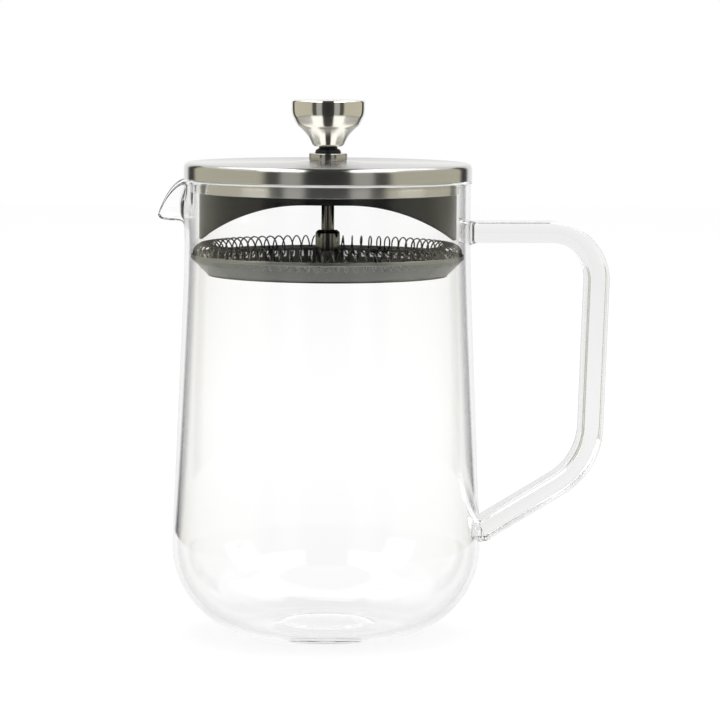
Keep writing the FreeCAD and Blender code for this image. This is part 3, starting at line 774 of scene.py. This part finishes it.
def guard_floor(angle):
    """Height of the guard's lower edge: two tips at the sides, an arch front and back."""
    across = abs(GUARD_RADIUS * math.cos(angle))
    fall = ARCH_RADIUS - math.sqrt(ARCH_RADIUS ** 2 - max(across - ARCH_FLAT, 0.0) ** 2)
    return max(ARCH_TOP - fall, GUARD_TIP)


def splash_guard():
    """Moulded ring and deck in one piece, its wall cut by the two arches."""
    segments = 256
    deck_top = GUARD_DECK + GUARD_DECK_THICK
    post_top = CAP_TOP - CAP_SHEET - 0.05
    inner = GUARD_RADIUS - GUARD_WALL
    post = STEM_HOLE + GUARD_POST_WALL
    soft = GUARD_EDGE
    points = []
    for angle in angles(segments):
        edge = guard_floor(angle)
        section = [
            (STEM_HOLE, GUARD_DECK), (inner - 1.0, GUARD_DECK), (inner - 0.3, GUARD_DECK - 0.2),
            (inner, GUARD_DECK - 0.9), (inner, edge + soft), (inner + soft, edge),
            (GUARD_RADIUS - soft, edge), (GUARD_RADIUS, edge + soft),
            (GUARD_RADIUS, deck_top - soft), (GUARD_RADIUS - soft, deck_top),
            (post, deck_top), (post, post_top), (STEM_HOLE, post_top)]
        points += [about_axis(r, angle + LID_SET_ANGLE, z) for r, z in section]
    faces = grid_faces(segments, len(section), loop_rows=True)
    return new_piece("arched_guard", points, faces, PLASTIC, sharp=40)


def lid_bush():
    """Turned bush: a stem down through cap and guard, a flange on the cap."""
    under = FLANGE_TOP - FLANGE_THICK
    bottom = low("lid_bush")
    return lathe("bush_turned", [
        (SLEEVE_RADIUS, bottom, 0), (STEM_RADIUS, bottom, 0.3), (STEM_RADIUS, under, 0.05),
        (FLANGE_RADIUS, under, 0.3), (FLANGE_RADIUS, FLANGE_TOP, 0.45),
        (SLEEVE_RADIUS, FLANGE_TOP, 0)], BUFFED, segments=96)


def rod_sleeve():
    """Sleeve the rod runs in: a low dome on the flange and a collar the knob rests on."""
    bore = ROD_RADIUS + 0.05
    bottom = low("rod_sleeve")
    return lathe("sleeve_turned", [
        (bore, bottom, 0), (SLEEVE_RADIUS, bottom, 0.1), (SLEEVE_RADIUS, FLANGE_TOP, 0),
        (DOME_RADIUS, FLANGE_TOP, 0.2), (DOME_RADIUS - 0.3, FLANGE_TOP + 1.1, 0.5),
        (COLLAR_RADIUS + 0.4, FLANGE_TOP + 1.6, 0.3), (COLLAR_RADIUS, FLANGE_TOP + 1.7, 0.05),
        (COLLAR_RADIUS, COLLAR_TOP, 0.15), (bore, COLLAR_TOP, 0.05)], PLASTIC, segments=96)


# ---- plunger

def through(stations, steps=5):
    """A smooth curve through (x, z) stations, as points."""
    line = []
    for number in range(len(stations) - 1):
        around = [Vector(station) for station in beside(stations, number)]
        line += [tuple(eased(*around, step / steps)) for step in range(steps)]
    return line + [stations[-1]]


def knob():
    """Solid knob: flat crown, upright rim, round belly that draws in to a flared foot."""
    side = through([(r, KNOB_BASE + rise) for r, rise in KNOB_SIDE])
    seat = KNOB_BASE + KNOB_SOCKET
    return lathe("turned_knob", [
        (0, KNOB_TOP, 0), (KNOB_RADIUS, KNOB_TOP, 1.0)] + [(x, z, 0) for x, z in side] + [
        (5.2, KNOB_BASE, 0.5), (ROD_RADIUS, KNOB_BASE, 0), (ROD_RADIUS, seat, 0), (0, seat, 0)],
        KNOB_STEEL, segments=160, steps=8)


def plunger_rod():
    """Drawn rod from the knob's socket to the end nut."""
    bottom, top = low("plunger_rod"), high("plunger_rod")
    return lathe("drawn_rod", [
        (0, bottom, 0), (ROD_RADIUS, bottom, 0.4), (ROD_RADIUS, top, 0), (0, top, 0)],
        ROD_STEEL_PAINTED_DARK, segments=64)


def rod_hub():
    """Turned hub: slightly tapered, with a rounded shoulder that looks dark; its steel is also
    painted darker than real, as painted shade.
    """
    bottom, top = low("rod_hub"), high("rod_hub")
    return lathe("turned_hub", [
        (ROD_RADIUS, bottom, 0), (3.9, bottom, 0.1), (HUB_RADIUS, bottom + 8.0, 3.0),
        (HUB_RADIUS, top - 0.9, 1.1), (3.4, top, 0.6), (ROD_RADIUS, top, 0)], ROD_STEEL_PAINTED_DARK, segments=96)


def mesh_screen():
    """Pressed screen: flat floor, sloping side, upright lip."""
    inner = DISH_RIM_RADIUS - DISH_SHEET
    return lathe("pressed_screen", [
        (ROD_RADIUS, DISH_UNDER, 0), (DISH_BASE_RADIUS, DISH_UNDER, 0.8),
        (DISH_RIM_RADIUS, DISH_SLOPE_TOP, 1.5), (DISH_RIM_RADIUS, DISH_RIM_TOP, 0.1),
        (inner, DISH_RIM_TOP, 0.1), (inner, DISH_SLOPE_TOP + 0.05, 1.3),
        (DISH_BASE_RADIUS - 0.1, DISH_UNDER + DISH_SHEET, 0.7),
        (ROD_RADIUS, DISH_UNDER + DISH_SHEET, 0)], SCREEN, segments=256, steps=6)


def new_tree(name, sizes):
    """A geometry tree with geometry in and out and a named number input for each size."""
    tree = bpy.data.node_groups.new(name, "GeometryNodeTree")
    tree.interface.new_socket("Geometry", in_out="INPUT", socket_type="NodeSocketGeometry")
    for label, size in sizes.items():
        kind = "NodeSocketInt" if isinstance(size, int) else "NodeSocketFloat"
        tree.interface.new_socket(label, in_out="INPUT", socket_type=kind)
    tree.interface.new_socket("Geometry", in_out="OUTPUT", socket_type="NodeSocketGeometry")
    return tree


def run_tree(piece, tree, sizes):
    """Runs a geometry tree on a piece with the named sizes and keeps the plain mesh."""
    modifier = piece.modifiers.new(tree.name, "NODES")
    modifier.node_group = tree
    for item in tree.interface.items_tree:
        if item.in_out == "INPUT" and item.name in sizes:
            modifier[item.identifier] = sizes[item.name]
    return settled(piece)


def even_turns(tree, count):
    """Each point's angle round the axis, as its share of one turn."""
    index = add_node(tree, "GeometryNodeInputIndex")
    share = add_node(tree, "ShaderNodeMath", {0: index, 1: count}, operation="DIVIDE")
    return add_node(tree, "ShaderNodeMath", {0: share, 1: TURN}, operation="MULTIPLY")


def coil_tree(sizes):
    """A wire wound round a ring: every point of a circle is carried round the loop."""
    tree = new_tree("garter_coil", sizes)
    given = add_node(tree, "NodeGroupInput").outputs
    count = add_node(tree, "ShaderNodeMath", {0: given["Turns"], 1: given["Steps"]},
                     operation="MULTIPLY")
    circle = add_node(tree, "GeometryNodeCurvePrimitiveCircle", {
        "Resolution": count, "Radius": given["Ring Radius"]})
    ring_angle = even_turns(tree, count)
    wound = add_node(tree, "ShaderNodeMath", {0: ring_angle, 1: given["Turns"]},
                     operation="MULTIPLY")
    loop_angle = add_node(tree, "ShaderNodeMath", {0: given["Start"], 1: wound},
                          operation="SUBTRACT")
    # Round the loop first, for how far out and up, then round the upright axis.
    round_loop = []
    for wave, middle in (("COSINE", "Ring Radius"), ("SINE", "Level")):
        swing = add_node(tree, "ShaderNodeMath", {0: loop_angle}, operation=wave)
        round_loop.append(add_node(tree, "ShaderNodeMath", {
            0: swing, 1: given["Loop Radius"], 2: given[middle]}, operation="MULTIPLY_ADD"))
    out, up = round_loop
    place = add_node(tree, "ShaderNodeCombineXYZ", {2: up})
    for axis, wave in enumerate(("COSINE", "SINE")):
        swing = add_node(tree, "ShaderNodeMath", {0: ring_angle}, operation=wave)
        side = add_node(tree, "ShaderNodeMath", {0: out, 1: swing}, operation="MULTIPLY")
        tree.links.new(side.outputs[0], place.inputs[axis])
    moved = add_node(tree, "GeometryNodeSetPosition", {"Geometry": circle, "Position": place})
    wire = add_node(tree, "GeometryNodeCurvePrimitiveCircle", {
        "Resolution": 6, "Radius": given["Wire Radius"]})
    tube = add_node(tree, "GeometryNodeCurveToMesh", {"Curve": moved, "Profile Curve": wire})
    smooth = add_node(tree, "GeometryNodeSetShadeSmooth", {"Geometry": tube})
    coated = add_node(tree, "GeometryNodeSetMaterial", {"Geometry": smooth, "Material": WIRE_STEEL_PAINTED_DARK})
    add_node(tree, "NodeGroupOutput", {"Geometry": coated})
    return tree


def garter_coil():
    """The springy wire ring that seals against the glass."""
    drop = COIL_LEVEL - SLOT_LEVEL
    inward = COIL_RING_RADIUS - (PLATE_RADIUS - PLATE_SHEET / 2)
    sizes = {
        "Ring Radius": COIL_RING_RADIUS * MM, "Loop Radius": COIL_LOOP_RADIUS * MM,
        "Level": COIL_LEVEL * MM, "Wire Radius": COIL_WIRE / 2 * MM,
        "Turns": COIL_TURNS, "Steps": COIL_STEPS, "Start": math.atan2(-drop, -inward)}
    return run_tree(plain_mesh("garter_coil", [], []), coil_tree(sizes), sizes)


def slot_panel():
    """One stretch of the plate's rim with its slot, as a curved panel open at both sides."""
    middle = (PLATE_UNDER + PLATE_RIM_TOP) / 2
    tall = (PLATE_RIM_TOP - PLATE_UNDER) / 2
    hole = corner_points(SLOT_WIDTH, SLOT_HEIGHT, SLOT_CORNER, 3)
    edge = []
    wide = math.pi / COIL_TURNS * PLATE_RADIUS
    for u, v in hole:
        scale = min(wide / max(abs(u), 1e-6), tall / max(abs(v), 1e-6))
        edge.append((u * scale, v * scale))
    for x, y in ((wide, tall), (-wide, tall), (-wide, -tall), (wide, -tall)):
        nearest = min(range(len(edge)), key=lambda k: (edge[k][0] - x) ** 2 + (edge[k][1] - y) ** 2)
        edge[nearest] = (x, y)
    points = []
    for radius in (PLATE_RADIUS, PLATE_RADIUS - PLATE_SHEET):
        for outline, level in ((hole, SLOT_LEVEL), (edge, middle)):
            points += [about_axis(radius, u / PLATE_RADIUS, level + v) for u, v in outline]
    size = len(hole)
    faces = []
    # Outer face, inner face, the slot's wall, and the rim's top and bottom.
    for k in range(size):
        after = (k + 1) % size
        faces.append((k, after, size + after, size + k))
        faces.append((2 * size + after, 2 * size + k, 3 * size + k, 3 * size + after))
        faces.append((k, 2 * size + k, 2 * size + after, after))
        flat = [abs(abs(edge[i][1]) - tall) < 1e-6 for i in (k, after)]
        if all(flat) and edge[k][1] * edge[after][1] > 0:
            faces.append((size + k, size + after, 3 * size + after, 3 * size + k))
    return points, faces


def ring_tree(sizes):
    """Repeats a panel round the upright axis and welds the panels into one rim."""
    tree = new_tree("slotted_rim", sizes)
    given = add_node(tree, "NodeGroupInput").outputs
    spots = add_node(tree, "GeometryNodePoints", {"Count": given["Count"]})
    turn = add_node(tree, "ShaderNodeCombineXYZ", {2: even_turns(tree, given["Count"])})
    copies = add_node(tree, "GeometryNodeInstanceOnPoints", {
        "Points": spots, "Instance": given["Geometry"], "Rotation": turn})
    whole = add_node(tree, "GeometryNodeRealizeInstances", {"Geometry": copies})
    welded = add_node(tree, "GeometryNodeMergeByDistance", {
        "Geometry": whole, "Distance": given["Weld"]})
    coated = add_node(tree, "GeometryNodeSetMaterial", {"Geometry": welded, "Material": PRESSED_STEEL_PAINTED_DARK})
    add_node(tree, "NodeGroupOutput", {"Geometry": coated})
    return tree


def slotted_plate():
    """Plate with an upright slotted rim that the coil is threaded through."""
    points, faces = slot_panel()
    rim = plain_mesh("slotted_plate", [Vector(p) * MM for p in points], faces)
    sizes = {"Count": COIL_TURNS, "Weld": 0.002 * MM}
    run_tree(rim, ring_tree(sizes), sizes)
    finish_surface(rim.data)
    edge = PLATE_RADIUS - PLATE_SHEET - 0.01
    disc = lathe("plate_floor", [
        (ROD_RADIUS, PLATE_UNDER, 0), (edge, PLATE_UNDER, 0), (edge, PLATE_UNDER + PLATE_SHEET, 0),
        (ROD_RADIUS, PLATE_UNDER + PLATE_SHEET, 0)], PRESSED_STEEL_PAINTED_DARK, segments=176)
    return join(rim, disc)


def join(first, second):
    """Puts a second piece's mesh into the first piece."""
    work = bmesh.new()
    work.from_mesh(first.data)
    work.from_mesh(second.data)
    work.to_mesh(first.data)
    work.free()
    bpy.data.objects.remove(second)
    shade(first.data)
    return first


# ---- put the pieces in place

jug = glass_jug()
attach(jug, "jug")
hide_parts("glass_beaker", "glass_spout", "glass_handle")

for make, node, body, slot in (
        (lid_cap, "lid_cap", "lid", "brushed_steel"),
        (lid_pan, "lid_pan", "lid", "brushed_steel"),
        (splash_guard, "splash_guard", "lid", "dark_plastic"),
        (lid_bush, "lid_bush", "lid_centre", "polished_steel"),
        (rod_sleeve, "rod_sleeve", "lid_centre", "dark_plastic"),
        (knob, "knob", "plunger", "brushed_steel"),
        (plunger_rod, "plunger_rod", "plunger", "polished_steel"),
        (rod_hub, "rod_hub", "plunger", "polished_steel"),
        (mesh_screen, "mesh_screen", "plunger", "screen_steel"),
        (garter_coil, "filter_spring", "plunger", "spring_wire"),
        (slotted_plate, "spring_plate", "plunger", "pressed_steel")):
    piece = make()
    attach(piece, body)
    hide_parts(node)

# The cross plate takes the pressed steel that is painted dark as painted shade.
for node, material in (("bush_nut", BUFFED), ("bush_washer", BUFFED), ("end_nut", BUFFED),
                       ("cross_plate", PRESSED_STEEL_PAINTED_DARK)):
    NODES[node].data.materials.clear()
    NODES[node].data.materials.append(material)


# ---- studio

def background_look(tree, output_kind, lit_shader, white_level):
    """White for camera, mirror and glass rays; the lit shader for the rest."""
    path = add_node(tree, "ShaderNodeLightPath")
    seen = add_node(tree, "ShaderNodeMath", {
        0: path.outputs["Is Camera Ray"], 1: path.outputs["Is Glossy Ray"]}, operation="MAXIMUM")
    seen = add_node(tree, "ShaderNodeMath", {
        0: seen, 1: path.outputs["Is Transmission Ray"]}, operation="MAXIMUM")
    mixed = add_node(tree, "ShaderNodeMixShader", {0: seen, 1: lit_shader, 2: white_level})
    add_node(tree, output_kind, {0: mixed})


WORLD_LIGHT = 0.75
TABLE_HALF = 3.0
TABLE_DROP = 0.0002
TABLE_GLOW = 0.875
# Painted shadow: seen through the glass the table is painted a little greyer near the object:
# (distance, level).
TABLE_PAINTED_SHADE_NEAR = (0.1, 0.77)
TABLE_FAR = (0.8, 0.86)
CAMERA_TURN = math.radians(-4.8)
GLASS_BOUNCES = 64
SCREEN_BANDS = (
    (0.0, "FFFFFF"), (0.17, "FFFFFF"), (0.20, "454544"), (0.262, "454544"), (0.285, "D8D4C0"),
    (0.70, "D4D0BE"), (0.735, "595954"), (0.785, "595954"), (0.805, "BCBCB6"),
    (0.88, "BCBCB6"), (0.905, "424240"), (1.0, "383837"))
SCREEN_PROFILE = ((0.30, 0.001), (1.9, 0.001), (2.2, 0.3), (2.2, 1.3))
OVERHEAD_PROFILE = (
    (-2.25, 1.2), (-2.0, 2.4), (-1.5, 3.4), (-1.0, 3.9), (0.0, 4.1), (1.0, 3.9), (2.2, 3.2))
HOOD_HALF = 0.78
BOX_REACH = 3.4
BOX_STRENGTH = 2.8
# Each lamp's name, place, width, height and power.
LAMPS = (("lamp_above", (0.1, 0.15, 1.5), 1.2, 1.0, 14),
         ("lamp_left", (-1.3, -0.5, 0.7), 0.7, 1.0, 6),
         ("lamp_right", (1.3, -0.4, 0.7), 0.7, 1.0, 6))
LAMP_AIM = Vector((0, 0, 0.11))
CAMERA_DISTANCE = 1.25
CAMERA_HEIGHT = 0.225
AIM_HEIGHT = 0.1018
AIM_RIGHT = 0.0122
CAMERA_ROLL = math.radians(0.35)
LENS = 169.57


def studio_world():
    """Soft light from all round, and plain white for what is seen or mirrored of it."""
    world = bpy.data.worlds.new("pale_studio")
    world.use_nodes = True
    tree = world.node_tree
    tree.nodes.clear()
    lit, white = [add_node(tree, "ShaderNodeBackground", {
        "Color": linear("FFFFFF"), "Strength": strength}) for strength in (WORLD_LIGHT, 1.0)]
    background_look(tree, "ShaderNodeOutputWorld", lit, white)
    bpy.context.scene.world = world


def studio_floor():
    """A pale table; what the camera sees of it is white that the object still shades."""
    material, tree = new_material("pale_table")
    lit = add_node(tree, "ShaderNodeBsdfDiffuse", {"Color": linear("E7E7E7")})
    place = add_node(tree, "ShaderNodeTexCoord").outputs["Object"]
    reach = add_node(tree, "ShaderNodeVectorMath", {0: place}, operation="LENGTH")
    # Painted shadow for glass rays: the table's glow dims near the object.
    near = add_node(tree, "ShaderNodeMapRange", {
        "Value": reach.outputs["Value"], "From Min": TABLE_PAINTED_SHADE_NEAR[0], "From Max": TABLE_FAR[0],
        "To Min": TABLE_PAINTED_SHADE_NEAR[1], "To Max": TABLE_FAR[1]}, interpolation_type="SMOOTHSTEP")
    path = add_node(tree, "ShaderNodeLightPath")
    level = add_node(tree, "ShaderNodeMix", {
        "Factor": path.outputs["Is Transmission Ray"], 2: TABLE_GLOW, 3: near})
    glow = add_node(tree, "ShaderNodeEmission", {"Color": linear("FFFFFF"), "Strength": level})
    shaded = add_node(tree, "ShaderNodeBsdfDiffuse", {"Color": linear("6C6C6C")})
    both = add_node(tree, "ShaderNodeAddShader", {0: glow, 1: shaded})
    background_look(tree, "ShaderNodeOutputMaterial", lit, both)
    corners = [(x * TABLE_HALF, y * TABLE_HALF, -TABLE_DROP)
               for x, y in ((-1, -1), (1, -1), (1, 1), (-1, 1))]
    plain_mesh("table", corners, [(0, 1, 2, 3)], material)


def mirror_only(name, colour, strength):
    """A glow that only the first two mirror rays of steel and glass meet, banded or one colour.

    Light that runs round inside the glass wall meets the white surroundings instead.
    """
    material, tree = new_material(name)
    shade = linear(colour) if colour else banded(tree)
    glow = add_node(tree, "ShaderNodeEmission", {"Color": shade, "Strength": strength})
    clear = add_node(tree, "ShaderNodeBsdfTransparent")
    path = add_node(tree, "ShaderNodeLightPath")
    mirrored = add_node(tree, "ShaderNodeMath", {
        0: path.outputs["Glossy Depth"], 1: 1.5, 2: 0.9}, operation="COMPARE")
    mixed = add_node(tree, "ShaderNodeMixShader", {0: mirrored, 1: clear, 2: glow})
    add_node(tree, "ShaderNodeOutputMaterial", {0: mixed})
    return material


def banded(tree):
    """Bands of grey and beige by how far round they are: 0 behind the object, 1 in front."""
    place = add_node(tree, "ShaderNodeTexCoord").outputs["Object"]
    split = add_node(tree, "ShaderNodeSeparateXYZ", {0: place})
    ahead = add_node(tree, "ShaderNodeMath", {
        0: split.outputs[0], 1: split.outputs[1]}, operation="ARCTAN2")
    turned = add_node(tree, "ShaderNodeMath", {0: ahead}, operation="ABSOLUTE")
    share = add_node(tree, "ShaderNodeMath", {0: turned, 1: math.pi}, operation="DIVIDE")
    ramp = add_node(tree, "ShaderNodeValToRGB", {"Fac": share})
    stops = ramp.color_ramp.elements
    while len(stops) < len(SCREEN_BANDS):
        stops.new(0.5)
    for stop, (position, colour) in zip(stops, SCREEN_BANDS):
        stop.position = position
        stop.color = linear(colour)
    return ramp.outputs[0]


def stage_sheet(name, rows, material, closed=False):
    """A screen from rows of points, turned to the camera, that casts no shadow."""
    sheet = plain_mesh(name, [point for row in rows for point in row],
                       grid_faces(len(rows), len(rows[0]), loop_columns=closed), material)
    sheet.rotation_euler.z = CAMERA_TURN
    sheet.visible_camera = sheet.visible_diffuse = sheet.visible_shadow = False


def studio_screens():
    """Screens round the table, a dark hood overhead and a bright box each side of it."""
    stage_sheet("screens",
                [[about_axis(r, angle, z) for angle in angles(96)] for r, z in SCREEN_PROFILE],
                mirror_only("studio_screens", None, 1.0), closed=True)
    for name, start, stop, colour, strength in (
            ("hood", -HOOD_HALF, HOOD_HALF, "50504E", 1.0),
            ("box_left", -BOX_REACH, -HOOD_HALF, "FFFFFF", BOX_STRENGTH),
            ("box_right", HOOD_HALF, BOX_REACH, "FFFFFF", BOX_STRENGTH)):
        stage_sheet(name, [[(start, y, z), (stop, y, z)] for y, z in OVERHEAD_PROFILE],
                    mirror_only("studio_" + name, colour, strength))


def soft_lamp(name, place, width, height, power):
    """A large soft lamp that faces the middle of the object."""
    lamp = bpy.data.lights.new(name, "AREA")
    lamp.shape = "RECTANGLE"
    lamp.size = width
    lamp.size_y = height
    lamp.energy = power
    holder = in_scene(name, lamp)
    holder.rotation_euler = (LAMP_AIM - Vector(place)).to_track_quat("-Z", "Y").to_euler()
    holder.location = place
    holder.visible_camera = holder.visible_glossy = False


def camera_in_place():
    """A long lens a little above the lid, turned slightly to the jug's left."""
    back = Vector((math.sin(CAMERA_TURN), -math.cos(CAMERA_TURN), 0))
    right = Vector((math.cos(CAMERA_TURN), math.sin(CAMERA_TURN), 0))
    target = right * AIM_RIGHT + Vector((0, 0, AIM_HEIGHT))
    place = target + back * CAMERA_DISTANCE + Vector((0, 0, CAMERA_HEIGHT - AIM_HEIGHT))
    ahead = (target - place).normalized()
    up = right.cross(ahead)
    side = right * math.cos(CAMERA_ROLL) + up * math.sin(CAMERA_ROLL)
    top = up * math.cos(CAMERA_ROLL) - right * math.sin(CAMERA_ROLL)
    lens = bpy.data.cameras.new("camera")
    lens.lens = LENS
    lens.sensor_width = 36.0
    lens.clip_end = 20.0
    camera = in_scene("camera", lens)
    camera.matrix_world = (Matrix.Translation(place)
                           @ Matrix((side, top, -ahead)).transposed().to_4x4())
    bpy.context.scene.camera = camera


studio_world()
studio_floor()
studio_screens()
for lamp_values in LAMPS:
    soft_lamp(*lamp_values)
camera_in_place()
bpy.context.scene.view_settings.view_transform = "Standard"
# Light runs round inside a glass wall many times before it leaves.
for kind in ("max_bounces", "transmission_bounces", "glossy_bounces"):
    setattr(bpy.context.scene.cycles, kind, GLASS_BOUNCES)
